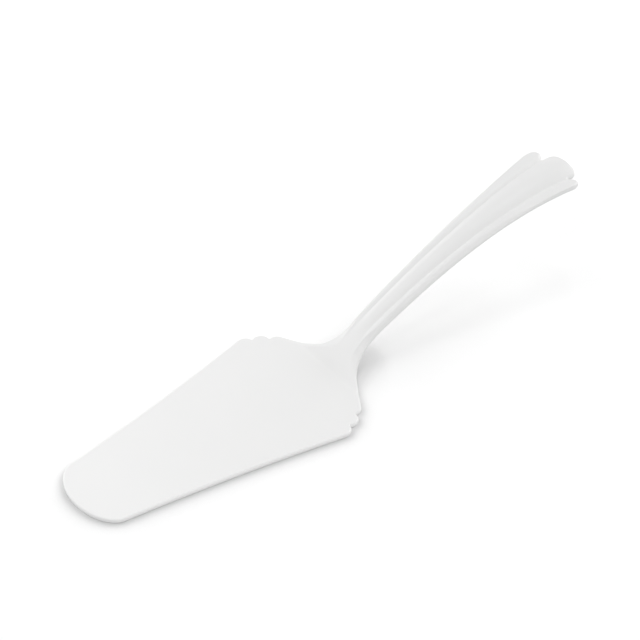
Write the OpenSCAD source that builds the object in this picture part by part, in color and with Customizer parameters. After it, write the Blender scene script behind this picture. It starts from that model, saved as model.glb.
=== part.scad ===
// Cake server: a flat trowel blade with scalloped rear corners, a raised neck and a fluted handle.
// The real object is one white moulding. Its regions are modelled as separate solids that meet
// face to face, and nothing moves.
// X runs from the blade's tip to the handle's end, Y across and Z up. The blade lies flat on the
// table at Z = 0, and the origin is on the table under the middle of the whole length.

/* [Blade] */
// Length of the flat blade, from its tip to the start of the neck
blade_len = 124; // [115:0.5:140]
// Width of the blade across its first scallops, where it is widest
blade_w = 71.5; // [62:0.5:80]
// Width that the two sides would have at the very tip
tip_w = 35.2; // [28:0.2:42]
// Length of the rounding at the tip
tip_round = 10.5; // [6:0.5:16]
// Thickness of the blade
blade_t = 1.8; // [1.4:0.1:2.4]

/* [Scallops] */
// Radius of each scallop on the rear corners
scallop_r = 3.8; // [3.6:0.1:4.6]
// Distance from one scallop's centre to the next
scallop_step = 6.6; // [5.6:0.1:7]
// Angle of the first step, measured from the blade's length
scallop_angle = 25; // [18:1:32]
// How much further each step turns inwards
scallop_turn = 16.5; // [12:0.5:20]

/* [Neck] */
// Length of the neck, from the flat blade to the handle
neck_len = 23; // [20:0.5:26]
// Width of the neck at its narrowest
neck_w = 13.2; // [10:0.2:16]
// Width of the neck's flat top between its two ridges
ridge_w = 8.4; // [7:0.1:9]
// Height of the grooves above the table where the neck ends
neck_rise = 15.8; // [12:0.2:18]
// Radius of the bend in which the neck leaves the blade
neck_bend_r = 10; // [7:0.5:20]
// How far past the neck's start the shoulders' straight lines would meet the neck's sides
shoulder_reach = 9.4; // [8.6:0.2:10.2]
// Radius between each shoulder and the neck's side
neck_fillet = 15; // [11:0.5:17]
// Radius of the same corner on the ridges
ridge_fillet = 4; // [2:0.5:6]
// How far the neck's sides slope down from its ridges
neck_drop = 1.7; // [0.8:0.1:2.2]

/* [Handle] */
// Length of the handle, from the neck to the centre lobe's tip
handle_len = 105; // [90:0.5:125]
// Height of the grooves above the table at the handle's crest
crest_h = 45; // [35:0.5:54]
// Distance from the crest to the handle's tip
crest_back = 7; // [4:0.5:14]
// Width that the handle's two sides reach at its end, before the corners are rounded
handle_w = 31.6; // [26:0.1:36]
// Length of the centre lobe's rounded end
centre_reach = 7; // [6:0.5:9]
// How far the side lobes' ends lie behind the centre lobe's tip
side_back = 4.2; // [3:0.2:5]
// Length of the rounding on each side lobe's outer corner
side_round = 5; // [3:0.5:7]
// Depth of the notches between the lobes' ends, from the centre lobe's tip
notch_back = 6; // [5.2:0.2:6.4]
// How far the side lobes' outer edges rise above the grooves at the handle's end
end_lift = 1.6; // [0:0.1:2]
// Depth of the rounding along the lobes' ends
end_round = 1.2; // [0.6:0.1:1.4]
// Rise of the lobes, as a share of their half width
lobe_rise_share = 0.27; // [0.15:0.01:0.35]

/* [Section] */
// Thickness of the moulding's wall
wall_t = 1.6; // [1.2:0.1:1.8]
// Height of the neck's and the handle's upright edge
edge_h = 1.5; // [1.1:0.1:2]
// Width of the rim around the hollow underside
rim_w = 1.8; // [1.4:0.1:2.2]
// Slope of the hollow's walls, sideways
draft = 0.2; // [0.1:0.05:0.4]
// Width of the stiffening rib in the hollow
rib_w = 1; // [0.8:0.05:1.1]
// How far the rib stays above the rim
rib_back = 0.3; // [0.2:0.1:0.5]

/* [Hidden] */

total_len = blade_len + neck_len + handle_len;
blade_half = blade_w / 2;
tip_half = tip_w / 2;
neck_half = neck_w / 2;
ridge_half = ridge_w / 2;
handle_half = handle_w / 2;
neck_x = blade_len;
handle_x = blade_len + neck_len;
end_x = total_len;

// Share of the blade's flare that is straight; the rest curves outwards
flare_share = 0.72;
// Shares of the handle's flare that grow with the distance, its square and its cube
handle_flare_shares = [0.45, 0.17, 0.38];
// Part of the handle's length over which the first of them sets in
flare_start_share = 0.03;
// Share of the half width at which a groove lies, at the neck and at the handle's end
groove_shares = [0.48, 0.555];
// Most that a groove's half width can be, as a share of the ridge's or crown's half width
groove_room_share = 0.86;
// Share of the half width at which a side lobe's crown lies
crown_share = 0.775;
// Power of the handle's long upward bow
bow_power = 1.7;
// Step along X, as a share of the neck's length, over which a slope is measured
slope_step_share = 0.01;
// Power of the centre lobe's rounded end; 2 would be an ellipse
centre_power = 3.6;
// Length of the rounding along the lobes' ends, as a share of the handle's length
round_len_share = 0.02;
// Place of the groove and of the crown among the columns, from 0 in the middle to 1 at the edge
groove_at_share = 0.56;
crown_at_share = 0.78;
// Part of the neck's length, from its start, over which the lobes fade in, and past its end
lobe_in_share = 0.5;
lobe_out_share = 1.2;
// Part of the neck's length at which the ridges start to open towards the side lobes' crowns
ridge_open_share = 0.65;
// Parts of the neck's length between which its sides turn down, and between which they turn back
drop_shares = [0.2, 0.75];
drop_back_shares = [0.5, 4.4];
// Parts of the handle's length between which the side lobes' outer edges rise
lift_shares = [0.6, 1];
// Part of that rise that the rim follows
rim_lift_share = 0.25;
// Power of the sides' slope on the neck and on the handle's lobes
neck_slope_power = 1.1;
lobe_slope_power = 2;
// How much steeper the ridges' line runs than the shoulders' line, as an angle
ridge_lean = -4;
// Part of the neck's length at which the hollow starts
hollow_in_share = 0.3;
hollow_full_share = 0.6;
// Ends of the rib, as shares of the neck's length and of the handle's length
rib_shares = [0.55, 0.86];

scallops = 3;
tip_steps = 14;
side_steps = 16;
scallop_steps = 12;
neck_rows = 20;
handle_rows = 34;
centre_columns = 6;
inner_columns = 3;
outer_columns = 4;

// Eases from 0 to 1
function ease(t) = let (c = min(max(t, 0), 1)) c * c * (3 - 2 * c);

// Steps from scallop to scallop turn by a fixed angle, and the shoulder's line is the next step
function step_angle(i) = scallop_angle + scallop_turn * i;
shoulder_angle = step_angle(scallops - 1);
shoulder_x = neck_x + shoulder_reach;
function drop_to(i) = i == 0 ? 0 : drop_to(i - 1) + scallop_step * sin(step_angle(i - 1));
function run_to(i) = i == 0 ? 0 : run_to(i - 1) + scallop_step * cos(step_angle(i - 1));
last_y = blade_half - scallop_r - drop_to(scallops - 1);
last_off = scallop_r + (last_y - neck_half) * cos(shoulder_angle);
last_x = shoulder_x - last_off / sin(shoulder_angle);
first_x = last_x - run_to(scallops - 1);
function scallop_centre(i) = [first_x + run_to(i), blade_half - scallop_r - drop_to(i)];

// Each scallop's arc runs from the side or the last notch to the next notch or the shoulder
notch_angle = acos(scallop_step / 2 / scallop_r);
function arc_from(i) = i == 0 ? 90 + atan(side_slope) : 180 - step_angle(i - 1) - notch_angle;
function arc_to(i) = i == scallops - 1 ? 90 - shoulder_angle : notch_angle - step_angle(i);
function arc_point(i, q) =
    let (a = arc_from(i) + (arc_to(i) - arc_from(i)) * q)
    scallop_centre(i) + scallop_r * [cos(a), sin(a)];

// The blade's side flares in a shallow curve and meets the first scallop along its tangent
side_slope = (blade_half - tip_half) * (2 - flare_share) / first_x;
side_end = scallop_centre(0) + scallop_r * [-sin(atan(side_slope)), cos(atan(side_slope))];
function side_half(q) =
    tip_half + (side_end.y - tip_half) * (flare_share * q + (1 - flare_share) * q * q);
function tip_point(a) =
    let (x = tip_round * (1 - cos(a)))
    [x, side_half(x / side_end.x) * sin(a)];

// Half width of a corner that leaves a slope for a straight side through a fillet
function corner_half(x, side, angle, r) =
    let (back = r * tan(angle / 2))
    let (from = shoulder_x - back * cos(angle))
    let (to = shoulder_x + back)
    x < from ? side + (shoulder_x - x) * tan(angle)
    : x < to ? side + r - sqrt(r * r - (to - x) * (to - x))
    : side;

// Half widths of the outline, the ridge or crown, and the groove
function handle_t(x) = max((x - handle_x) / handle_len, 0);
function flare(t) =
    let (start = sqrt(t * t + flare_start_share * flare_start_share) - flare_start_share)
    handle_flare_shares[0] * start + handle_flare_shares[1] * t * t
    + handle_flare_shares[2] * t * t * t;
function edge_y(x) =
    x < handle_x ? corner_half(x, neck_half, shoulder_angle, neck_fillet)
    : neck_half + (handle_half - neck_half) * flare(handle_t(x));
function neck_t(x) = (x - neck_x) / neck_len;
function ridge_open(x) = ease((neck_t(x) - ridge_open_share) / (1 - ridge_open_share));
function crown_y(x) =
    x < handle_x ? corner_half(x, ridge_half, shoulder_angle + ridge_lean, ridge_fillet)
                   + (crown_share * neck_half - ridge_half) * ridge_open(x)
    : crown_share * edge_y(x);
function groove_share(x) = groove_shares[0] + (groove_shares[1] - groove_shares[0]) * handle_t(x);
function groove_y(x) = min(groove_share(x) * edge_y(x), groove_room_share * crown_y(x));

// Height of the grooves: a Hermite curve up the neck, then one long bow of the same slope and bend
crest_x = end_x - crest_back;
bow_len = crest_x - handle_x;
bow_h = crest_h - neck_rise;
joint_slope = bow_power * bow_h / bow_len;
joint_bend = -joint_slope * (bow_power - 1) / bow_len;
function spine_neck(t) =
    let (u = 1 - t)
    blade_t + (neck_rise - blade_t) * pow(t, 3) * (1 + 3 * u + 6 * u * u)
    - joint_slope * neck_len * pow(t, 3) * u * (1 + 3 * u)
    + joint_bend * neck_len * neck_len * pow(t, 3) * u * u / 2
    + neck_len * neck_len / neck_bend_r * t * t * pow(u, 3) / 2;
function spine(x) =
    x <= neck_x ? blade_t
    : x < handle_x ? spine_neck(neck_t(x))
    : crest_h - bow_h * pow(abs(crest_x - x) / bow_len, bow_power);
function slope_at(x) =
    let (d = neck_len * slope_step_share)
    (spine(x + d) - spine(x - d)) / (2 * d);

// How much of the lobes and of the sloping sides there is at x
function lobes_at(x) = ease((neck_t(x) - lobe_in_share) / (lobe_out_share - lobe_in_share));
function part_of(t, shares) = ease((t - shares[0]) / (shares[1] - shares[0]));
function drop_at(x) =
    neck_drop * (part_of(neck_t(x), drop_shares) - part_of(neck_t(x), drop_back_shares));
function lift_at(x) = end_lift * part_of(handle_t(x), lift_shares);
function slope_power(x) = neck_slope_power + (lobe_slope_power - neck_slope_power) * lobes_at(x);

// Place across the width of a column, from 0 in the middle to 1 at the edge
function column_y(v, x) =
    v < groove_at_share ? groove_y(x) * v / groove_at_share
    : v < crown_at_share ?
        groove_y(x) + (crown_y(x) - groove_y(x))
        * (v - groove_at_share) / (crown_at_share - groove_at_share)
    : crown_y(x) + (edge_y(x) - crown_y(x)) * (v - crown_at_share) / (1 - crown_at_share);

// Height of the top face above the table on a column
function centre_rise(x) = lobe_rise_share * groove_y(x) * lobes_at(x);
function side_rise(x) = lobe_rise_share * (edge_y(x) - groove_y(x)) / 2 * lobes_at(x);
function top_z(v, x) =
    let (q0 = v / groove_at_share)
    let (q1 = (crown_at_share - v) / (crown_at_share - groove_at_share))
    let (q2 = (v - crown_at_share) / (1 - crown_at_share))
    spine(x) + (
        v < groove_at_share ? centre_rise(x) * (1 - q0 * q0)
        : v < crown_at_share ? side_rise(x) * (1 - q1 * q1)
        : side_rise(x) - (side_rise(x) + drop_at(x) - lift_at(x)) * pow(q2, slope_power(x)));
function rim_z(x) =
    let (depth = blade_t + (edge_h - blade_t) * ease(neck_t(x)))
    max(spine(x) - drop_at(x) + rim_lift_share * lift_at(x) - depth, 0);

// The hollow's ceiling keeps the wall's thickness under the top face, and fades in from the rim
function wall_down(x) = wall_t * sqrt(1 + slope_at(x) * slope_at(x));
function hollow_at(x) = ease((neck_t(x) - hollow_in_share) / (hollow_full_share - hollow_in_share));
function ceiling_z(v, x) =
    rim_z(x) + hollow_at(x) * max(top_z(v, x) - wall_down(x) - rim_z(x), 0);

// Far end of a column: the centre lobe's end, a notch, or a side lobe's end
side_middle_share = (groove_at_share + 1) / 2;
lobe_x = end_x - centre_reach;
notch_x = end_x - notch_back;
side_x = end_x - side_back;
function reach(v) =
    let (c = v / groove_at_share)
    let (s = (v - side_middle_share) / (1 - side_middle_share))
    v < groove_at_share ?
        max(notch_x, lobe_x + centre_reach * pow(1 - pow(c, centre_power), 1 / centre_power))
    : v < side_middle_share ? max(notch_x, side_x - side_round * (1 - sqrt(1 - s * s)))
    : side_x - side_round * (1 - sqrt(max(1 - s * s, 0)));

// Columns lie closer together towards the outer edges of the lobes
half_columns = concat(
    [for (i = [1 : centre_columns]) groove_at_share * sin(90 * i / centre_columns)],
    [for (i = [1 : inner_columns])
        groove_at_share + (crown_at_share - groove_at_share) * i / inner_columns],
    [for (i = [1 : outer_columns])
        crown_at_share + (1 - crown_at_share) * sin(90 * i / outer_columns)]);
half_count = len(half_columns);
columns = concat(
    [for (i = [half_count - 1 : -1 : 0]) -half_columns[i]],
    [0],
    half_columns);
last_column = len(columns) - 1;

// Points of a region between two ends of its columns; shift moves the origin to mid length
shift = -total_len / 2;
function side_of(v) = v < 0 ? -1 : 1;
function row_x(i, rows, from, to) = from + (to - from) * i / rows;
function top_point(v, x) =
    [x + shift, side_of(v) * column_y(abs(v), x), top_z(abs(v), x)];
function rim_point(v, x, inset) =
    [x + shift, side_of(v) * column_y(abs(v), x) * (1 - inset / edge_y(x)), rim_z(x)];
function ceiling_point(v, x) =
    [x + shift,
     side_of(v) * column_y(abs(v), x) * (1 - (rim_w + draft) / edge_y(x)),
     ceiling_z(abs(v), x)];

// The lobes' ends are rounded over a short way before the tip
function end_drop(x, to) =
    let (q = min(max(1 - (to - x) / (handle_len * round_len_share), 0), 1))
    end_round * (1 - sqrt(1 - q * q));
function lowered(p, dz) = [p.x, p.y, p.z - dz];

// Indices around the border of a grid: up the first column, along the last row and back down
function border(rows, round_end) = concat(
    [for (i = [0 : rows]) [i, 0]],
    round_end ? [for (j = [1 : last_column - 1]) [rows, j]] : [],
    [for (i = [rows : -1 : 0]) [i, last_column]]);
function flipped(faces) = [for (f = faces) [f[0], f[2], f[1]]];
function cell(i, j) = i * (last_column + 1) + j;

// Faces of a flat end across row i, between the top grid, the ceiling grid and the rim
function end_faces(i, grid, rims, lips) = concat(
    [for (j = [0 : last_column - 1])
        for (f = [[cell(i, j), grid + cell(i, j + 1), cell(i, j + 1)],
                  [cell(i, j), grid + cell(i, j), grid + cell(i, j + 1)]]) f],
    [[cell(i, 0), rims[0], lips[0]],
     [cell(i, 0), lips[0], grid + cell(i, 0)],
     [cell(i, last_column), lips[1], rims[1]],
     [cell(i, last_column), grid + cell(i, last_column), lips[1]]]);

// A channel open underneath, with lobes on top and a rim round its hollow
module channel(from, rows, to_lobes) {
    to = [for (v = columns) to_lobes ? reach(abs(v)) : handle_x];
    inset = to_lobes ? rim_w : 0;
    slant = to_lobes ? draft : 0;
    top = [for (i = [0 : rows]) for (j = [0 : last_column])
        let (x = row_x(i, rows, from, to[j]))
        lowered(top_point(columns[j], x), to_lobes ? end_drop(x, to[j]) : 0)];
    hollow = [for (i = [0 : rows]) for (j = [0 : last_column])
        ceiling_point(columns[j], row_x(i, rows, from, to[j] - inset - slant))];
    edges = border(rows, to_lobes);
    count = len(edges);
    outer = [for (e = edges)
        rim_point(columns[e.y], row_x(e.x, rows, from, to[e.y]), 0)];
    inner = [for (e = edges)
        rim_point(columns[e.y], row_x(e.x, rows, from, to[e.y] - inset), rim_w)];
    grid = (rows + 1) * (last_column + 1);
    rim = 2 * grid;
    lip = rim + count;
    top_faces = [for (i = [0 : rows - 1]) for (j = [0 : last_column - 1])
        for (f = [[cell(i, j), cell(i, j + 1), cell(i + 1, j + 1)],
                  [cell(i, j), cell(i + 1, j + 1), cell(i + 1, j)]]) f];
    hollow_faces = flipped([for (f = top_faces) [f[0] + grid, f[1] + grid, f[2] + grid]]);
    wall_faces = [for (k = [0 : count - 2]) if (to_lobes || k != rows)
        let (t0 = cell(edges[k].x, edges[k].y))
        let (t1 = cell(edges[k + 1].x, edges[k + 1].y))
        for (f = [[t0, t1, rim + k + 1], [t0, rim + k + 1, rim + k],
                  [rim + k, rim + k + 1, lip + k + 1], [rim + k, lip + k + 1, lip + k],
                  [lip + k, lip + k + 1, grid + t1], [lip + k, grid + t1, grid + t0]]) f];
    near_faces = end_faces(0, grid, [rim, rim + count - 1], [lip, lip + count - 1]);
    far_faces = to_lobes ? []
        : flipped(end_faces(rows, grid, [rim + rows, rim + rows + 1], [lip + rows, lip + rows + 1]));
    polyhedron(
        points = concat(top, hollow, outer, inner),
        faces = concat(top_faces, hollow_faces, wall_faces, near_faces, far_faces),
        convexity = 6);
}

// The rib hangs from the hollow's ceiling along the middle, from the neck well into the handle
rib_rows = concat(
    [for (i = [round(neck_rows * rib_shares[0]) : neck_rows - 1])
        row_x(i, neck_rows, neck_x, handle_x)],
    [for (i = [0 : round(handle_rows * rib_shares[1])])
        row_x(i, handle_rows, handle_x, end_x - rim_w - draft)]);
function rib_top(y, x) =
    let (next = ceiling_point(half_columns[0], x))
    let (middle = ceiling_point(0, x))
    [x + shift, y, middle.z + (next.z - middle.z) * abs(y) / next.y];
function rib_low(y, x) = [x + shift, y, rim_z(x) + rib_back];

module blade() {
    side = concat(
        [for (i = [0 : tip_steps - 1]) tip_point(90 * i / tip_steps)],
        [for (i = [0 : side_steps - 1])
            let (x = tip_round + (side_end.x - tip_round) * i / side_steps)
            [x, side_half(x / side_end.x)]],
        [for (i = [0 : scallops - 1]) for (k = [min(i, 1) : scallop_steps])
            arc_point(i, k / scallop_steps)],
        [[neck_x, edge_y(neck_x)]]);
    count = len(side);
    outline = concat(side, [for (i = [count - 1 : -1 : 1]) [side[i].x, -side[i].y]]);
    color("white")
    translate([shift, 0])
    linear_extrude(blade_t)
    polygon(outline);
}

module neck() {
    color("white")
    channel(neck_x, neck_rows, false);
}

module handle() {
    color("white")
    channel(handle_x, handle_rows, true);
}

module spine_rib() {
    half = rib_w / 2;
    last = len(rib_rows) - 1;
    ring = 5;
    points = [for (x = rib_rows)
        for (p = [rib_low(-half, x), rib_top(-half, x), rib_top(0, x),
                  rib_top(half, x), rib_low(half, x)]) p];
    sides = [for (i = [0 : last - 1]) for (j = [0 : ring - 1])
        let (a = i * ring + j)
        let (b = i * ring + (j + 1) % ring)
        for (f = [[a, b, b + ring], [a, b + ring, a + ring]]) f];
    near = [[0, 2, 1], [0, 4, 2], [2, 4, 3]];
    far = flipped([for (f = near) [for (n = f) n + last * ring]]);
    color("white")
    polyhedron(points = points, faces = concat(sides, near, far), convexity = 6);
}

blade();
neck();
handle();
spine_rib();
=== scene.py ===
"""Looks of the cake server: one glossy white moulding, shown as four closed pieces that meet face to
face.

The surface is worked out in millimetres, from the tip of the blade along X, as heights over its plan:
a top skin, an under skin and the wall between them. Each skin is a triangulated plan of rings that
follow the outline and of rows across it, and each point's height comes from a formula.
"""

import math
import bpy
import numpy as np
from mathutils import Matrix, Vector
from mathutils.geometry import delaunay_2d_cdt


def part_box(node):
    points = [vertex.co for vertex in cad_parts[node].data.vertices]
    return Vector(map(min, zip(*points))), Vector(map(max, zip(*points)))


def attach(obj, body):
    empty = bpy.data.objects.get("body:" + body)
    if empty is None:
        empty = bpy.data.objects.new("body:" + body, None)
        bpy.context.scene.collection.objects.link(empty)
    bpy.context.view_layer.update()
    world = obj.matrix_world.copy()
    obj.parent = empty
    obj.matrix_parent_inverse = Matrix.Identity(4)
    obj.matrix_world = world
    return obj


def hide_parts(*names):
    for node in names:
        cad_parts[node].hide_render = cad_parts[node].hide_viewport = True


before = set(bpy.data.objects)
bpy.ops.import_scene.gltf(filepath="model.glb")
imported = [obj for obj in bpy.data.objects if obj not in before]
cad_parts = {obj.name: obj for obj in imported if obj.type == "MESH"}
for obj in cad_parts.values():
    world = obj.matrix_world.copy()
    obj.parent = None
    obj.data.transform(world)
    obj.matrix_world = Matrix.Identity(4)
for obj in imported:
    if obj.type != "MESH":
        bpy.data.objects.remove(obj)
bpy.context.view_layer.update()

MM = 0.001

# Sizes that the frame gives
BLADE_LOW, BLADE_HIGH = (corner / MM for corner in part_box("blade"))
NECK_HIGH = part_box("neck")[1] / MM
HANDLE_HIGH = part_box("handle")[1] / MM
RIB_LOW, RIB_HIGH = (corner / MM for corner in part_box("spine_rib"))
TIP_X = BLADE_LOW.x
NECK_X = BLADE_HIGH.x - TIP_X
HANDLE_X = NECK_HIGH.x - TIP_X
END_X = HANDLE_HIGH.x - TIP_X
NECK_LEN = HANDLE_X - NECK_X
HANDLE_LEN = END_X - HANDLE_X
BLADE_HALF = BLADE_HIGH.y
BLADE_T = BLADE_HIGH.z

# Blade and scallops
TIP_HALF = 17.6
TIP_ROUND = 10.5
FLARE_SHARE = 0.72
SCALLOPS = 3
SCALLOP_R = 3.8
SCALLOP_STEP = 6.6
SCALLOP_ANGLE = math.radians(25)
SCALLOP_TURN = math.radians(16.5)

# Neck
NECK_HALF = 6.6
RIDGE_HALF = 4.2
NECK_RISE = 15.8
NECK_BEND_R = 10
SHOULDER_REACH = 9.4
NECK_FILLET = 15
RIDGE_FILLET = 4
RIDGE_LEAN = math.radians(-4)
NECK_DROP = 1.7
DROP_SHARES = (0.2, 0.75)
DROP_BACK_SHARES = (0.5, 4.4)
RIDGE_SOFT = (0.035, 2.9)
SHOULDER_DROP = 0.55
# Where the shoulders' narrow band starts and ends, past the blade's end
SHOULDER_START = (-4.5, 2.5)
SHOULDER_END = (13, 20)
SHOULDER_BLEND = 0.1
# Shares of the neck over which its ridges open and over which the lobes rise
RIDGE_OPENING = (0.65, 1)
LOBE_RISE_SHARES = (0.5, 1.2)

# Handle
CREST_H = 45
CREST_BACK = 7
BOW_POWER = 1.7
HANDLE_HALF = 15.8
HANDLE_FLARE = (0.45, 0.17, 0.38)
FLARE_START = 0.03
GROOVE_SHARES = (0.48, 0.555)
GROOVE_ROOM = 0.86
CROWN_SHARE = 0.775
LOBE_RISE = 0.27
GROOVE_SOFT = 0.3
CENTRE_REACH = 7
CENTRE_POWER = 3.6
SIDE_BACK = 4.2
SIDE_ROUND = 5
NOTCH_BACK = 6
END_LIFT = 1.6
LIFT_SHARES = (0.6, 1)
RIM_LIFT = 0.25
GROOVE_AT = 0.56
SIDE_MIDDLE = (GROOVE_AT + 1) / 2

# Section
WALL_T = 1.6
EDGE_H = 1.5
RIM_W = 1.8
HOLLOW_SHARES = (0.3, 0.6)
LIP_R = 0.3
WALL_DRAFT = 0.2
ROOT_R = 0.8
RIB_BACK = 0.3

# Rounding of the top edge and of the lower edge, on the blade and on the handle, and of the lobes' ends
TOP_ROUNDS = (0.8, 0.45)
LOW_ROUNDS = (0.4, 0.3)
LOBE_ROUND = 1.2
LOBE_ROUND_LEN = 12
LOBE_ROUND_FADE = 6
# Where the blade's rounding turns into the handle's
ROUND_CHANGE = (NECK_X + 4, NECK_X + 16)


def ease(t):
    c = np.clip(t, 0, 1)
    return c * c * (3 - 2 * c)


def part_of(t, shares):
    return ease((t - shares[0]) / (shares[1] - shares[0]))


# Plan of the outline

def step_angle(i):
    return SCALLOP_ANGLE + SCALLOP_TURN * i


SHOULDER_ANGLE = step_angle(SCALLOPS - 1)
SHOULDER_X = NECK_X + SHOULDER_REACH
DROPS = [SCALLOP_STEP * sum(math.sin(step_angle(k)) for k in range(i)) for i in range(SCALLOPS)]
RUNS = [SCALLOP_STEP * sum(math.cos(step_angle(k)) for k in range(i)) for i in range(SCALLOPS)]
LAST_Y = BLADE_HALF - SCALLOP_R - DROPS[-1]
LAST_OFF = SCALLOP_R + (LAST_Y - NECK_HALF) * math.cos(SHOULDER_ANGLE)
FIRST_X = SHOULDER_X - LAST_OFF / math.sin(SHOULDER_ANGLE) - RUNS[-1]
NOTCH_ANGLE = math.acos(SCALLOP_STEP / 2 / SCALLOP_R)
SIDE_SLOPE = math.atan((BLADE_HALF - TIP_HALF) * (2 - FLARE_SHARE) / FIRST_X)
SIDE_END_X = FIRST_X - SCALLOP_R * math.sin(SIDE_SLOPE)
SIDE_END_Y = BLADE_HALF - SCALLOP_R * (1 - math.cos(SIDE_SLOPE))


def side_half(x):
    q = x / SIDE_END_X
    return TIP_HALF + (SIDE_END_Y - TIP_HALF) * (FLARE_SHARE * q + (1 - FLARE_SHARE) * q * q)


def corner_half(x, side, angle, r):
    """Half width of a corner that leaves a slope for a straight side through a fillet."""
    back = r * math.tan(angle / 2)
    start = SHOULDER_X - back * math.cos(angle)
    end = SHOULDER_X + back
    slope = side + (SHOULDER_X - x) * math.tan(angle)
    fillet = side + r - np.sqrt(np.maximum(r * r - np.clip(end - x, 0, r) ** 2, 0))
    return np.where(x < start, slope, np.where(x < end, fillet, side))


def neck_t(x):
    return (x - NECK_X) / NECK_LEN


def handle_t(x):
    return np.maximum((x - HANDLE_X) / HANDLE_LEN, 0)


def edge_half(x):
    t = handle_t(x)
    start = np.sqrt(t**2 + FLARE_START**2) - FLARE_START
    flare = HANDLE_FLARE[0] * start + HANDLE_FLARE[1] * t**2 + HANDLE_FLARE[2] * t**3
    side = NECK_HALF + (HANDLE_HALF - NECK_HALF) * flare
    return np.where(x < HANDLE_X, corner_half(x, NECK_HALF, SHOULDER_ANGLE, NECK_FILLET), side)


def crown_half(x):
    """Half width at the ridge of the neck, which opens into the crown of each side lobe."""
    opening = part_of(neck_t(x), RIDGE_OPENING) * (CROWN_SHARE * NECK_HALF - RIDGE_HALF)
    ridge = corner_half(x, RIDGE_HALF, SHOULDER_ANGLE + RIDGE_LEAN, RIDGE_FILLET) + opening
    return np.where(x < HANDLE_X, ridge, CROWN_SHARE * edge_half(x))


def groove_half(x):
    share = GROOVE_SHARES[0] + (GROOVE_SHARES[1] - GROOVE_SHARES[0]) * handle_t(x)
    return np.minimum(share * edge_half(x), GROOVE_ROOM * crown_half(x))


def lobe_y(v, x):
    """Half width at a place v across the handle, where the groove is at GROOVE_AT and the edge at 1."""
    groove, crown, edge = groove_half(x), crown_half(x), edge_half(x)
    return np.where(
        v < GROOVE_AT,
        groove * v / GROOVE_AT,
        np.where(
            v < SIDE_MIDDLE,
            groove + (crown - groove) * (v - GROOVE_AT) / (SIDE_MIDDLE - GROOVE_AT),
            crown + (edge - crown) * (v - SIDE_MIDDLE) / (1 - SIDE_MIDDLE),
        ),
    )


# Heights

CREST_X = END_X - CREST_BACK
BOW_LEN = CREST_X - HANDLE_X
BOW_H = CREST_H - NECK_RISE
JOINT_SLOPE = BOW_POWER * BOW_H / BOW_LEN
JOINT_BEND = -JOINT_SLOPE * (BOW_POWER - 1) / BOW_LEN


def spine(x):
    """Height of the grooves: flat, then up the neck, then one long bow of the same slope and bend."""
    t = np.clip(neck_t(x), 0, 1)
    u = 1 - t
    neck = (
        BLADE_T
        + (NECK_RISE - BLADE_T) * t**3 * (1 + 3 * u + 6 * u * u)
        - JOINT_SLOPE * NECK_LEN * t**3 * u * (1 + 3 * u)
        + JOINT_BEND * NECK_LEN**2 * t**3 * u * u / 2
        + NECK_LEN**2 / NECK_BEND_R * t * t * u**3 / 2
    )
    bow = CREST_H - BOW_H * (np.abs(CREST_X - x) / BOW_LEN) ** BOW_POWER
    return np.where(x < HANDLE_X, neck, bow)


def spine_slope(x):
    d = 0.2
    return (spine(x + d) - spine(x - d)) / (2 * d)


def lobes_at(x):
    return part_of(neck_t(x), LOBE_RISE_SHARES)


def neck_drop(x):
    """How far the sides slope down from the neck's ridges and from the side lobes."""
    t = neck_t(x)
    return NECK_DROP * (part_of(t, DROP_SHARES) - part_of(t, DROP_BACK_SHARES))


def side_drop(x):
    """The same slope, with the narrow band that starts on the blade's shoulders."""
    past = x - NECK_X
    band = SHOULDER_DROP * part_of(past, SHOULDER_START) * (1 - part_of(past, SHOULDER_END))
    drop = neck_drop(x)
    return (band + drop + np.sqrt((band - drop) ** 2 + SHOULDER_BLEND * band * band)) / 2


def side_lift(x):
    """How far the side lobes' outer edges rise towards the handle's end."""
    return END_LIFT * part_of(handle_t(x), LIFT_SHARES)


def top_height(x, y):
    """Height of the top face without the rounding of its edge."""
    y = np.abs(y)
    groove, crown, edge, lobes = groove_half(x), crown_half(x), edge_half(x), lobes_at(x)
    side = LOBE_RISE * (edge - groove) / 2 * lobes
    centre = LOBE_RISE * groove * lobes * (1 - (y / groove) ** 2)
    inner = side * (1 - ((crown - y) / (crown - groove)) ** 2)
    soft = np.maximum(GROOVE_SOFT * lobes, 1e-9)
    near = np.clip(1 - np.abs(centre - inner) / soft, 0, 1)
    fluted = np.maximum(centre, inner) + near * near * soft / 4
    q = np.maximum((y - crown) / (edge - crown), 0)
    round_q = RIDGE_SOFT[0] + RIDGE_SOFT[1] * lobes**4
    turned = (np.sqrt(q * q + round_q**2) - round_q) / (np.sqrt(1 + round_q**2) - round_q)
    outer = side - (side + side_drop(x) - side_lift(x)) * turned
    return spine(x) + np.where(y < crown, fluted, outer)


def rim_height(x):
    depth = BLADE_T + (EDGE_H - BLADE_T) * ease(neck_t(x))
    return np.maximum(spine(x) - neck_drop(x) + RIM_LIFT * side_lift(x) - depth, 0)


def on_handle(x):
    """From 0 on the blade to 1 on the handle, with the change on the neck."""
    return part_of(x, ROUND_CHANGE)


def edge_round(x):
    """Radius of the rounding along the top edge."""
    side = TOP_ROUNDS[0] + (TOP_ROUNDS[1] - TOP_ROUNDS[0]) * on_handle(x)
    return side + (LOBE_ROUND - side) * ease((x - END_X + LOBE_ROUND_LEN) / LOBE_ROUND_FADE)


def low_round(x):
    """Radius of the rounding along the lower edge."""
    return LOW_ROUNDS[0] + (LOW_ROUNDS[1] - LOW_ROUNDS[0]) * on_handle(x)


def quarter(d, r):
    """Drop of a quarter round of radius r at a distance d from the edge."""
    q = np.clip(1 - d / r, 0, 1)
    return r * (1 - np.sqrt(1 - q * q))


def top_skin(x, y, d):
    return top_height(x, y) - quarter(d, edge_round(x))


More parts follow.
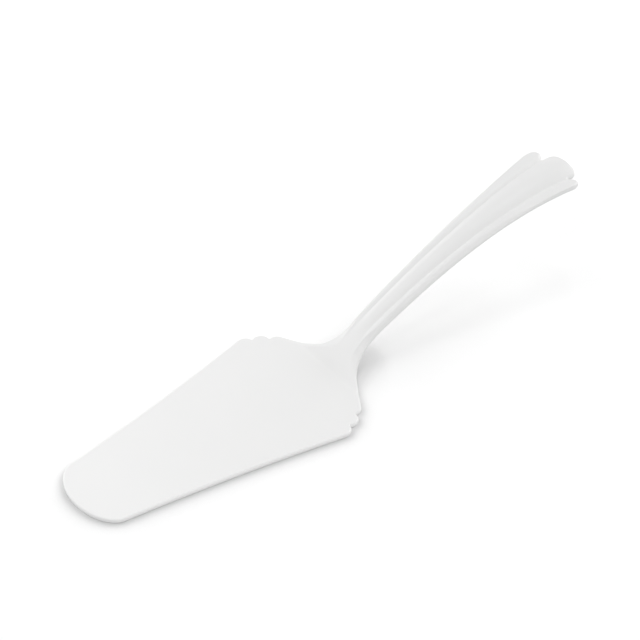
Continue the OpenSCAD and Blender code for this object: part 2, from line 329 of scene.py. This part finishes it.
def hollow_wall(s, depth):
    """Height of the hollow's wall over the rim: a round lip, a steep wall and a round root."""
    full = np.maximum(depth, LIP_R + ROOT_R + 0.1)
    a = np.clip(s + LIP_R, 0, LIP_R)
    lip = LIP_R - np.sqrt(LIP_R**2 - a * a)
    wall = LIP_R + (full - ROOT_R - LIP_R) * np.clip(s / WALL_DRAFT, 0, 1)
    t = np.clip(s - WALL_DRAFT, 0, ROOT_R)
    root = full - ROOT_R + np.sqrt(ROOT_R**2 - (ROOT_R - t) ** 2)
    high = np.where(s < 0, lip, np.where(s < WALL_DRAFT, wall, root))
    return high * depth / full


def hollow_depth(x, y):
    wall = WALL_T * np.sqrt(1 + spine_slope(x) ** 2)
    return part_of(neck_t(x), HOLLOW_SHARES) * np.maximum(top_height(x, y) - wall - rim_height(x), 0)


def under_skin(x, y, d):
    low = rim_height(x) + quarter(d, low_round(x))
    return low + hollow_wall(d - RIM_W, hollow_depth(x, y)) + marks(x, y)


# Shallow round marks that ejector pins leave under the blade
MARK_R = 2.6
MARK_DEEP = 0.12
MARK_EDGE = 0.2
MARKS = [(26, 0), (62, -13), (62, 13), (98, -20), (98, 20)]
MARK_RINGS = (0.5, 1.5, 2.2, 2.4, 2.45, 2.5, 2.55, 2.6, 2.8)


def marks(x, y):
    near = np.min([np.hypot(x - mx, y - my) for mx, my in MARKS], axis=0)
    return MARK_DEEP * ease((MARK_R - near) / MARK_EDGE)


# Outline as points, clockwise from the tip, seen from above

def along(curve, a, b, spacing):
    """Points of a curve from parameter a to b, evenly spaced along its length, without the last."""
    fine = curve(np.linspace(a, b, 400))
    length = np.concatenate([[0], np.cumsum(np.hypot(*np.diff(fine, axis=0).T))])
    count = max(int(round(length[-1] / spacing)), 2)
    at = np.linspace(0, length[-1], count + 1)[:-1]
    return np.column_stack([np.interp(at, length, fine[:, k]) for k in (0, 1)])


def soften(points, corner, cut, steps=6):
    """Rounds the corner nearest to a point by a curve that leaves both sides about cut away from it."""
    far = np.hypot(*(points - corner).T)
    i = int(np.argmin(far))
    a = b = i
    while far[a] < cut:
        a -= 1
    while far[b] < cut:
        b += 1
    t = np.linspace(0, 1, steps + 1)[:, None]
    curve = (1 - t) ** 2 * points[a] + 2 * t * (1 - t) * points[i] + t * t * points[b]
    return np.vstack([points[:a], curve, points[b + 1:]])


def tip_curve(a):
    x = TIP_ROUND * (1 - np.cos(a))
    return np.column_stack([x, side_half(x) * np.sin(a)])


def side_curve(x):
    return np.column_stack([x, side_half(x)])


def scallop_centre(i):
    return np.array([FIRST_X + RUNS[i], BLADE_HALF - SCALLOP_R - DROPS[i]])


def scallop_curve(i):
    def curve(a):
        return scallop_centre(i) + SCALLOP_R * np.column_stack([np.cos(a), np.sin(a)])
    return curve


def scallop_ends(i):
    start = math.pi / 2 + SIDE_SLOPE if i == 0 else math.pi - step_angle(i - 1) - NOTCH_ANGLE
    end = math.pi / 2 - SHOULDER_ANGLE if i == SCALLOPS - 1 else NOTCH_ANGLE - step_angle(i)
    return start, end


def edge_curve(x):
    return np.column_stack([x, edge_half(x)])


def side_lobe_curve(a):
    """The side lobe's end, where a runs from its outer side to the notch."""
    v = SIDE_MIDDLE + (1 - SIDE_MIDDLE) * np.sin(a)
    x = END_X - SIDE_BACK - SIDE_ROUND * (1 - np.cos(a))
    x = np.where(a < 0, np.maximum(x, END_X - NOTCH_BACK), x)
    return np.column_stack([x, lobe_y(v, x)])


def centre_lobe_curve(a):
    """The centre lobe's end, where a runs from the notch to the middle."""
    v = GROOVE_AT * np.sin(a) ** (2 / CENTRE_POWER)
    x = END_X - CENTRE_REACH * (1 - np.cos(a) ** (2 / CENTRE_POWER))
    return np.column_stack([x, lobe_y(v, np.maximum(x, END_X - NOTCH_BACK))])


def outline():
    arc_end = scallop_centre(SCALLOPS - 1)[0] + SCALLOP_R * math.sin(SHOULDER_ANGLE)
    lobe_x = END_X - SIDE_BACK - SIDE_ROUND
    lobe_a = math.acos(1 - (NOTCH_BACK - SIDE_BACK) / SIDE_ROUND)
    bottom = 1 - (CENTRE_REACH - NOTCH_BACK) / CENTRE_REACH
    notch_a = math.acos((1 - bottom) ** (CENTRE_POWER / 2))
    parts = [along(tip_curve, 0, math.pi / 2, 0.5), along(side_curve, TIP_ROUND, SIDE_END_X, 1)]
    for i in range(SCALLOPS):
        parts.append(along(scallop_curve(i), *scallop_ends(i), 0.22))
    sides = ((arc_end, NECK_X, 0.5), (NECK_X, HANDLE_X, 0.5), (HANDLE_X, lobe_x, 0.8))
    for start, end, spacing in sides:
        parts.append(along(edge_curve, start, end, spacing))
    parts.append(along(side_lobe_curve, math.pi / 2, -lobe_a, 0.25))
    parts.append(along(side_lobe_curve, -lobe_a, -math.pi / 2, 0.2))
    parts.append(along(centre_lobe_curve, notch_a, 0, 0.25))
    half = np.vstack([*parts, [[END_X, 0]]])
    for i in range(SCALLOPS - 1):
        end = scallop_ends(i)[1]
        corner = scallop_centre(i) + SCALLOP_R * np.array([math.cos(end), math.sin(end)])
        half = soften(half, corner, 0.35)
    notch_x = END_X - NOTCH_BACK
    for v in (GROOVE_AT, SIDE_MIDDLE - (1 - SIDE_MIDDLE) * math.sin(lobe_a)):
        half = soften(half, (notch_x, float(lobe_y(v, notch_x))), 0.5)
    return np.vstack([half, half[-2:0:-1] * (1, -1)])


OUTLINE = outline()


def distance(points):
    """Distance of each point from the outline."""
    start, step = OUTLINE, np.roll(OUTLINE, -1, axis=0) - OUTLINE
    squared = (step**2).sum(axis=1)
    found = np.empty(len(points))
    for k in range(0, len(points), 2000):
        p = points[k:k + 2000, None, :]
        t = np.clip(((p - start) * step).sum(axis=2) / squared, 0, 1)
        found[k:k + 2000] = np.sqrt((((p - start) - t[..., None] * step) ** 2).sum(axis=2).min(axis=1))
    return found


def inside(points):
    """Whether each point lies in the outline."""
    a, b = OUTLINE, np.roll(OUTLINE, -1, axis=0)
    crossings = np.zeros(len(points), int)
    for k in range(len(a)):
        if a[k, 1] == b[k, 1]:
            continue
        spans = (a[k, 1] > points[:, 1]) != (b[k, 1] > points[:, 1])
        at = a[k, 0] + (points[:, 1] - a[k, 1]) * (b[k, 0] - a[k, 0]) / (b[k, 1] - a[k, 1])
        crossings += spans & (points[:, 0] < at)
    return crossings % 2 == 1


def outline_normals():
    """Unit vectors into the plan, across the outline at each of its points."""
    along_x, along_y = (np.roll(OUTLINE, -1, axis=0) - np.roll(OUTLINE, 1, axis=0)).T
    length = np.hypot(along_x, along_y)
    return np.column_stack([along_y / length, -along_x / length])


def ring(depth, from_x=-1):
    """The outline moved in by a depth, which may differ from point to point, and its unbroken edges."""
    points = OUTLINE + outline_normals() * np.reshape(depth, (-1, 1))
    keep = (distance(points) > depth - 0.01) & inside(points) & (OUTLINE[:, 0] > from_x)
    number = np.cumsum(keep) - 1
    after = np.roll(np.arange(len(points)), -1)
    joined = keep & keep[after]
    edges = np.column_stack([number[joined], number[after][joined]])
    return points[keep], edges


def row_xs(from_x, to_x, spacing):
    """Places of rows along X, with one at each cut."""
    xs = np.arange(from_x, to_x, spacing)
    for cut_x in (NECK_X, HANDLE_X):
        if from_x < cut_x < to_x:
            xs = np.append(xs[np.abs(xs - cut_x) > spacing / 2], cut_x)
    return np.sort(xs)


def line(xs, v, keep_off):
    """A line along the rows at one place across, on both sides, as points and edges."""
    side = np.column_stack([xs, lobe_y(v, xs)])
    points = np.vstack([side, side * (1, -1)])
    keep = inside(points) & (distance(points) > keep_off(points))
    number = np.cumsum(keep) - 1
    joined = keep[:-1] & keep[1:]
    joined[len(xs) - 1] = False
    return points[keep], np.column_stack([number[:-1][joined], number[1:][joined]])


def rows(xs, across):
    """Points in rows across the handle and the neck, at the places across that one side's list gives."""
    v = np.concatenate([-across[::-1], across[across > 0]])
    grid_x, grid_v = np.meshgrid(xs, v, indexing="ij")
    return np.column_stack([grid_x.ravel(), (np.sign(grid_v) * lobe_y(np.abs(grid_v), grid_x)).ravel()])


def places(centre, inner, outer):
    """Places across one side, closer together beside the groove."""
    a = GROOVE_AT * np.sin(np.linspace(0, math.pi / 2, centre + 1))
    b = GROOVE_AT + (SIDE_MIDDLE - GROOVE_AT) * (1 - np.cos(np.linspace(0, math.pi / 2, inner + 1)))[1:]
    c = SIDE_MIDDLE + (1 - SIDE_MIDDLE) * (np.linspace(0, 1, outer + 1)[1:]) ** 1.8
    return np.concatenate([a, b, c])


def blade_points(spacing):
    """Evenly spaced points on the flat of the blade."""
    xs = np.arange(spacing, FIRST_X, spacing)
    ys = np.arange(-BLADE_HALF, BLADE_HALF + spacing, spacing)
    return np.array([(x, y) for x in xs for y in ys])


def plan(rings, fields, keep_off):
    """Triangulates the plan, with rings and cuts as edges and fields of points between them."""
    points = [OUTLINE]
    edges = [np.column_stack([np.arange(len(OUTLINE)), np.roll(np.arange(len(OUTLINE)), -1)])]
    count = len(OUTLINE)
    for ring_points, ring_edges in rings:
        points.append(ring_points)
        edges.append(ring_edges + count)
        count += len(ring_points)
    for field in fields:
        field = field[inside(field)]
        points.append(field[distance(field) > keep_off(field)])
    for cut_x in (NECK_X, HANDLE_X):
        ends = np.nonzero(np.abs(OUTLINE[:, 0] - cut_x) < 1e-6)[0]
        edges.append(ends[None, :])
    flat = np.vstack(points)
    found = delaunay_2d_cdt([Vector(p) for p in flat], np.vstack(edges).tolist(), [], 1, 1e-5, True)
    place = np.array([tuple(p) for p in found[0]])
    number = {old: new for new, olds in enumerate(found[3]) for old in olds}
    border = [number[i] for i in range(len(OUTLINE))]
    tris = np.array(found[2])
    return place, tris[inside(place[tris].mean(axis=1))].tolist(), border


def top_plan():
    turn = np.radians((15, 30, 45, 60, 75, 90))
    size = edge_round(OUTLINE[:, 0])
    rings = [ring(size * (1 - math.cos(a))) for a in turn]
    rings.append(ring(size + 0.25))
    across = places(10, 7, 10)
    near, far = row_xs(FIRST_X + 12, HANDLE_X + 4, 0.5), row_xs(HANDLE_X + 4, END_X, 1)

    def keep_off(p):
        return edge_round(p[:, 0]) + 0.4
    xs = np.concatenate([near, far])
    rings += [line(xs, SIDE_MIDDLE, keep_off), line(xs, GROOVE_AT, keep_off)]
    return plan(rings, [blade_points(5), rows(near, across), rows(far, across)], keep_off)


def under_plan():
    turn = np.radians((22.5, 45, 67.5, 90))
    size = low_round(OUTLINE[:, 0])
    rings = [ring(size * (1 - math.cos(a))) for a in turn]
    rings.append(ring(size + 0.2))
    lip = RIM_W - LIP_R
    depths = [lip - 0.2, lip]
    depths += [lip + LIP_R * math.sin(a) for a in turn]
    depths += [RIM_W + WALL_DRAFT]
    depths += [RIM_W + WALL_DRAFT + ROOT_R * (1 - math.cos(a)) for a in turn]
    hollow_x = NECK_X + NECK_LEN * HOLLOW_SHARES[0]
    rings += [ring(np.full(len(OUTLINE), d), hollow_x) for d in depths]
    across = places(7, 5, 3)
    fields = [blade_points(5), rows(row_xs(NECK_X + 1, END_X, 1.1), across)]
    for mx, my in MARKS:
        for r in MARK_RINGS:
            a = np.linspace(0, 2 * math.pi, 33)[:-1]
            fields.append(np.column_stack([mx + r * np.cos(a), my + r * np.sin(a)]))
    deepest = depths[-1] + 0.3

    def keep_off(p):
        return np.where(p[:, 0] > hollow_x, deepest, low_round(p[:, 0]) + 0.4)
    return plan(rings, fields, keep_off)


def vertex_normals(points, faces):
    """Mean of the faces' normals at each point, weighted by the angle of each face there."""
    total = np.zeros_like(points)
    tris = np.array([(f[0], f[k], f[k + 1]) for f in faces for k in range(1, len(f) - 1)])
    a, b, c = (points[tris[:, k]] for k in range(3))
    normal = np.cross(b - a, c - a)
    normal /= np.maximum(np.linalg.norm(normal, axis=1), 1e-12)[:, None]
    for k in range(3):
        u = points[tris[:, (k + 1) % 3]] - points[tris[:, k]]
        w = points[tris[:, (k + 2) % 3]] - points[tris[:, k]]
        lengths = np.linalg.norm(u, axis=1) * np.linalg.norm(w, axis=1)
        angle = np.arccos(np.clip((u * w).sum(axis=1) / np.maximum(lengths, 1e-12), -1, 1))
        np.add.at(total, tris[:, k], normal * angle[:, None])
    return total / np.maximum(np.linalg.norm(total, axis=1), 1e-12)[:, None]


def height_normals(x, y):
    """Normals of the top face from its formula."""
    d = 0.02
    slope_x = (top_height(x + d, y) - top_height(x - d, y)) / (2 * d)
    slope_y = (top_height(x, y + d) - top_height(x, y - d)) / (2 * d)
    normal = np.column_stack([-slope_x, -slope_y, np.ones_like(x)])
    return normal / np.linalg.norm(normal, axis=1)[:, None]


def moulding():
    """Points, faces and normals of the whole moulding, and where its under skin starts."""
    top, top_faces, top_border = top_plan()
    under, under_faces, under_border = under_plan()
    top_d = distance(top)
    top_z = np.minimum(top_skin(top[:, 0], top[:, 1], top_d), HANDLE_HIGH.z)
    under_z = under_skin(under[:, 0], under[:, 1], distance(under))
    points = np.vstack([np.column_stack([top, top_z]), np.column_stack([under, under_z])])
    first = len(top)
    faces = top_faces + [[first + i for i in reversed(f)] for f in under_faces]
    count = len(OUTLINE)
    for i in range(count):
        j = (i + 1) % count
        faces.append((top_border[i], top_border[j], first + under_border[j], first + under_border[i]))
    normals = vertex_normals(points, faces)
    flat = np.nonzero(top_d > edge_round(top[:, 0]) + 0.01)[0]
    normals[flat] = height_normals(*top[flat].T)
    return points, faces, normals, first


def cut_face(points, first, x):
    """The section at a cut, as a ring of points whose normal is +X."""
    at = np.nonzero(np.abs(points[:, 0] - x) < 1e-5)[0]
    upper, lower = at[at < first], at[at >= first]
    upper = upper[np.argsort(-points[upper, 1])]
    lower = lower[np.argsort(points[lower, 1])]
    return list(lower) + list(upper)


def make_piece(name, points, faces, loop_normals, material):
    """A mesh object in the row frame from points in millimetres from the tip."""
    placed = (points + (TIP_X, 0, 0)) * MM
    mesh = bpy.data.meshes.new(name)
    mesh.from_pydata(placed.tolist(), [], faces)
    mesh.shade_smooth()
    if loop_normals is not None:
        mesh.normals_split_custom_set(loop_normals)
    mesh.materials.append(material)
    piece = bpy.data.objects.new(name, mesh)
    bpy.context.scene.collection.objects.link(piece)
    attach(piece, "root")
    return piece


def region(name, node, low_x, high_x, points, faces, normals, first, material):
    """The part of the moulding between two cuts, closed by a flat face at each."""
    middle = np.array([points[list(f), 0].mean() for f in faces])
    chosen = [faces[k] for k in np.nonzero((middle > low_x) & (middle < high_x))[0]]
    loops = [tuple(normals[i]) for f in chosen for i in f]
    for x, turn in ((low_x, -1), (high_x, 1)):
        if 0 < x < END_X:
            section = cut_face(points, first, x)[::turn]
            chosen.append(tuple(section))
            loops += [(turn, 0, 0)] * len(section)
    used = sorted({i for f in chosen for i in f})
    number = {old: new for new, old in enumerate(used)}
    local = [tuple(number[i] for i in f) for f in chosen]
    piece = make_piece(name, points[used], local, loops, material)
    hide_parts(node)
    return piece


# Rib in the hollow

RIB_TOP_HALF = 0.5
RIB_LOW_HALF = 0.42
RIB_LOW_R = 0.25
RIB_ROOT_R = 0.6
RIB_RUN_OUT = 5
RIB_SUNK = 0.2


def rib_section(x, low, high):
    """Points of the rib's section at x, from the lower middle round to it again."""
    tall = high - low
    turn = np.linspace(0, math.pi / 2, 6)
    r = min(RIB_LOW_R, tall / 3)
    root = min(RIB_ROOT_R, tall / 2)
    side = [(RIB_LOW_HALF - r + r * math.sin(a), low + r - r * math.cos(a)) for a in turn]
    reach = RIB_TOP_HALF + RIB_ROOT_R
    side += [(reach - RIB_ROOT_R * math.cos(a), high - root + root * math.sin(a)) for a in turn]
    side.append((reach, high + RIB_SUNK))
    left = [(-y, z) for y, z in reversed(side)]
    return [(x, y, z) for y, z in side + left]


def rib(material):
    start, end = RIB_LOW.x - TIP_X, RIB_HIGH.x - TIP_X
    xs = np.concatenate([
        start + RIB_RUN_OUT * (1 - np.cos(np.linspace(0.1, math.pi / 2, 14))),
        np.linspace(start + RIB_RUN_OUT, end - RIB_RUN_OUT, 70)[1:-1],
        end - RIB_RUN_OUT * (1 - np.cos(np.linspace(math.pi / 2, 0.1, 14))),
    ])
    points = []
    for x in xs:
        ceiling = float(rim_height(x) + hollow_depth(x, 0.0))
        full = ceiling - float(rim_height(x)) - RIB_BACK
        u = min((x - start) / RIB_RUN_OUT, (end - x) / RIB_RUN_OUT, 1)
        share = math.sqrt(max(1 - (1 - u) ** 2, 0))
        points += rib_section(x, ceiling - full * share, ceiling)
    count = len(points) // len(xs)
    faces = []
    for k in range(len(xs) - 1):
        for i in range(count):
            a, b = k * count + i, k * count + (i + 1) % count
            faces.append((a, a + count, b + count, b))
    faces.append(tuple(range(count)))
    faces.append(tuple(reversed(range((len(xs) - 1) * count, len(xs) * count))))
    piece = make_piece("underside_rib", np.array(points), faces, None, material)
    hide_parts("spine_rib")
    return piece


# Materials

PLASTIC_IOR = 1.5
CLOUD_NOISE = (22, 3)
CLOUD_TONES = ((0.835, 0.835, 0.832, 1), (0.865, 0.865, 0.862, 1))
ROUGHNESS = (0.26, 0.36)
GRAIN_NOISE = (1500, 2)
GRAIN_STRENGTH = 0.04
GRAIN_DEPTH = 0.0001
FLOOR_GREY = (0.8, 0.8, 0.8, 1)


def new_material(name):
    material = bpy.data.materials.new(name)
    material.use_nodes = True
    return material, material.node_tree


def feed(tree, socket, value):
    """Links a socket to another node's value, or gives it a fixed one."""
    if isinstance(value, bpy.types.NodeSocket):
        tree.links.new(value, socket)
    else:
        socket.default_value = value


def calculate(tree, operation, *values):
    node = tree.nodes.new("ShaderNodeMath")
    node.operation = operation
    for socket, value in zip(node.inputs, values):
        feed(tree, socket, value)
    return node.outputs["Value"]


def product(tree, found, *factors):
    for factor in factors:
        found = calculate(tree, "MULTIPLY", found, factor)
    return found


def map_range(tree, value, to_range, from_range=(0, 1)):
    """A value carried from one range to another, held at the ends."""
    node = tree.nodes.new("ShaderNodeMapRange")
    for side, ends in (("From", from_range), ("To", to_range)):
        for end, level in zip(("Min", "Max"), ends):
            node.inputs[f"{side} {end}"].default_value = level
    feed(tree, node.inputs["Value"], value)
    return node.outputs["Result"]


def blend(tree, factor, *tones):
    node = tree.nodes.new("ShaderNodeMix")
    node.data_type = "RGBA"
    for socket, value in zip(("Factor", "A", "B"), (factor, *tones)):
        feed(tree, node.inputs[socket], value)
    return node.outputs["Result"]


def noise(tree, place, scale, detail):
    node = tree.nodes.new("ShaderNodeTexNoise")
    node.inputs["Scale"].default_value = scale
    node.inputs["Detail"].default_value = detail
    feed(tree, node.inputs["Vector"], place)
    return node.outputs["Fac"]


def white_plastic():
    """Glossy white plastic with faint clouding and a fine mould finish."""
    material, tree = new_material("white_plastic")
    place = tree.nodes.new("ShaderNodeTexCoord").outputs["Object"]
    cloud = noise(tree, place, *CLOUD_NOISE)
    bump = tree.nodes.new("ShaderNodeBump")
    bump.inputs["Strength"].default_value = GRAIN_STRENGTH
    bump.inputs["Distance"].default_value = GRAIN_DEPTH
    feed(tree, bump.inputs["Height"], noise(tree, place, *GRAIN_NOISE))
    shader = tree.nodes["Principled BSDF"].inputs
    feed(tree, shader["IOR"], PLASTIC_IOR)
    feed(tree, shader["Base Color"], blend(tree, cloud, *CLOUD_TONES))
    feed(tree, shader["Roughness"], map_range(tree, cloud, ROUGHNESS))
    feed(tree, shader["Normal"], bump.outputs["Normal"])
    return material


def background_ray(tree):
    """1 for the rays that show the background: from the camera, or mirrored or let through."""
    path = tree.nodes.new("ShaderNodeLightPath")
    found = path.outputs["Is Camera Ray"]
    for kind in ("Is Glossy Ray", "Is Transmission Ray"):
        found = calculate(tree, "MAXIMUM", found, path.outputs[kind])
    return found


def painted_contact_shade(tree, axes):
    """Painted shade in the floor's colour close round the object, where little sky reaches."""
    corner = tree.nodes.new("ShaderNodeAmbientOcclusion")
    corner.inputs["Distance"].default_value = CONTACT_REACH
    shut = calculate(tree, "SUBTRACT", 1, corner.outputs["AO"])
    root = calculate(tree, "POWER", shut, CONTACT_POWER)
    contact = map_range(tree, root, (0, PAINTED_CONTACT_SHADE), (0, CONTACT_FULL))
    slanted = calculate(tree, "MULTIPLY_ADD", axes["X"], CONTACT_SLANT, axes["Y"])
    near_side = map_range(tree, slanted, CONTACT_SIDE_SHARES, CONTACT_SIDE)
    below_blade = map_range(tree, axes["X"], CONTACT_REAR_SHARES, CONTACT_REAR)
    return product(tree, contact, near_side, below_blade)


def floor_white():
    """White floor for the camera, paler away from the softboxes, with painted light on the far side and
    painted shade round the object.
    """
    material, tree = new_material("floor_white")
    tree.nodes.remove(tree.nodes["Principled BSDF"])
    place = tree.nodes.new("ShaderNodeNewGeometry").outputs["Position"]
    reach = tree.nodes.new("ShaderNodeVectorMath")
    reach.operation = "DISTANCE"
    feed(tree, reach.inputs[0], place)
    feed(tree, reach.inputs[1], SOFTBOX_FOOT)
    split = tree.nodes.new("ShaderNodeSeparateXYZ")
    feed(tree, split.inputs["Vector"], place)
    axes = split.outputs
    whiteness = map_range(tree, reach.outputs["Value"], FLOOR_WHITES, FLOOR_REACH)
    # Painted light: the floor is painted paler on the far side, which whitens the object's faint shadows
    # there
    far_side_painted_light = map_range(tree, axes["Y"], (1, FAR_SIDE_PAINTED_LIGHT), FAR_SIDE)
    # Painted shade: the floor's colour is darkened close round the object
    unshaded = calculate(tree, "SUBTRACT", 1, painted_contact_shade(tree, axes))
    seen = product(tree, whiteness, far_side_painted_light, unshaded)
    shader = tree.nodes.new("ShaderNodeBsdfDiffuse")
    feed(tree, shader.inputs["Color"], blend(tree, background_ray(tree), FLOOR_GREY, seen))
    feed(tree, tree.nodes["Material Output"].inputs["Surface"], shader.outputs["BSDF"])
    return material


# Stage

FLOOR_SIZE = 4
FLOOR_GAP = 0.00005
# The camera sees a paler floor further from the softboxes, painted light that whitens shadows on the far
# side, and painted shade close round the object
SOFTBOX_FOOT = (-0.3, 0.2, 0)
FLOOR_REACH = (0.2, 0.72)
FLOOR_WHITES = (0.958, 1.228)
# Painted light on the far side: where it starts and ends across, and how much paler the floor is painted
FAR_SIDE = (0.005, 0.03)
FAR_SIDE_PAINTED_LIGHT = 1.05
# Painted contact shade in the floor's colour: its reach, power, full level and strength
CONTACT_REACH = 0.013
CONTACT_POWER = 0.55
CONTACT_FULL = 0.4
PAINTED_CONTACT_SHADE = 0.29
# The painted contact shade is strong at the tip and on the near side of the blade, and weak on the far
# side and below the neck. The line between the sides runs at a slant to the length
CONTACT_SLANT = 0.1
CONTACT_SIDE = (-0.006, 0.01)
CONTACT_SIDE_SHARES = (1, 0.15)
CONTACT_REAR = (-0.014, 0.002)
CONTACT_REAR_SHARES = (1, 0.56)
AMBIENT = 0.38
# Each far lamp's heading and height above the horizon, its softness and its strength, with angles in
# degrees
LAMPS = {
    "back": (0, 30, 50, 1.04),
    "edge_glint": (15, 25, 10, 0.1),
    "overhead_glint": (50, 72, 10, 0.12),
    "low_left": (90, 17, 30, 0.29),
    "high_left": (125, 63, 36, 0.26),
    "ridge_glint": (200, 57, 10, 0.14),
    "near_right": (270, 30, 50, 0.62),
}
# Each softbox's place and its power in watts. They stand near the tip, so their light fades along the
# handle
SOFTBOXES = {
    "box_near": ((-0.3, -0.25, 0.45), 0.33),
    "box_left": ((-0.3, 0.4, 0.2), 0.92),
}
SOFTBOX_SIZE = 0.45
SOFTBOX_AIM = Vector((-0.05, 0, 0))
CAMERA_AT = Vector((-0.4849, -0.6079, 0.7223))
CAMERA_TO = Vector((0.0141, 0.02462, 0.0015))
CAMERA_LENS = 145.9
CAMERA_CLIP = (0.01, 20)


def make_floor():
    half = FLOOR_SIZE / 2
    mesh = bpy.data.meshes.new("floor")
    corners = [(x * half, y * half, -FLOOR_GAP) for x, y in ((-1, -1), (1, -1), (1, 1), (-1, 1))]
    mesh.from_pydata(corners, [], [(0, 1, 2, 3)])
    mesh.materials.append(floor_white())
    floor = bpy.data.objects.new("floor", mesh)
    bpy.context.scene.collection.objects.link(floor)


def make_world():
    world = bpy.data.worlds.new("studio")
    bpy.context.scene.world = world
    world.use_nodes = True
    tree = world.node_tree
    background = tree.nodes["Background"].inputs
    feed(tree, background["Color"], (1, 1, 1, 1))
    feed(tree, background["Strength"], map_range(tree, background_ray(tree), (AMBIENT, 1)))


def make_lamps():
    for name, (heading, height, softness, strength) in LAMPS.items():
        light = bpy.data.lights.new(name, "SUN")
        light.energy = strength
        light.angle = math.radians(softness)
        lamp = bpy.data.objects.new(name, light)
        lamp.rotation_euler = (math.radians(90 - height), 0, math.radians(90 + heading))
        bpy.context.scene.collection.objects.link(lamp)
    for name, (place, power) in SOFTBOXES.items():
        light = bpy.data.lights.new(name, "AREA")
        light.energy = power
        light.size = SOFTBOX_SIZE
        lamp = bpy.data.objects.new(name, light)
        lamp.location = place
        lamp.rotation_mode = "QUATERNION"
        lamp.rotation_quaternion = (SOFTBOX_AIM - Vector(place)).to_track_quat("-Z", "Y")
        lamp.visible_camera = False
        bpy.context.scene.collection.objects.link(lamp)


def make_camera():
    data = bpy.data.cameras.new("camera")
    data.lens = CAMERA_LENS
    data.clip_start, data.clip_end = CAMERA_CLIP
    camera = bpy.data.objects.new("camera", data)
    camera.location = CAMERA_AT
    camera.rotation_mode = "QUATERNION"
    camera.rotation_quaternion = (CAMERA_TO - CAMERA_AT).to_track_quat("-Z", "Y")
    bpy.context.scene.collection.objects.link(camera)
    bpy.context.scene.camera = camera


bpy.context.scene.view_settings.view_transform = "Standard"
make_camera()
make_world()
make_lamps()
make_floor()
plastic = white_plastic()
whole = moulding()
region("blade_plate", "blade", -1, NECK_X, *whole, plastic)
region("neck_bridge", "neck", NECK_X, HANDLE_X, *whole, plastic)
region("handle_grip", "handle", HANDLE_X, END_X + 1, *whole, plastic)
rib(plastic)
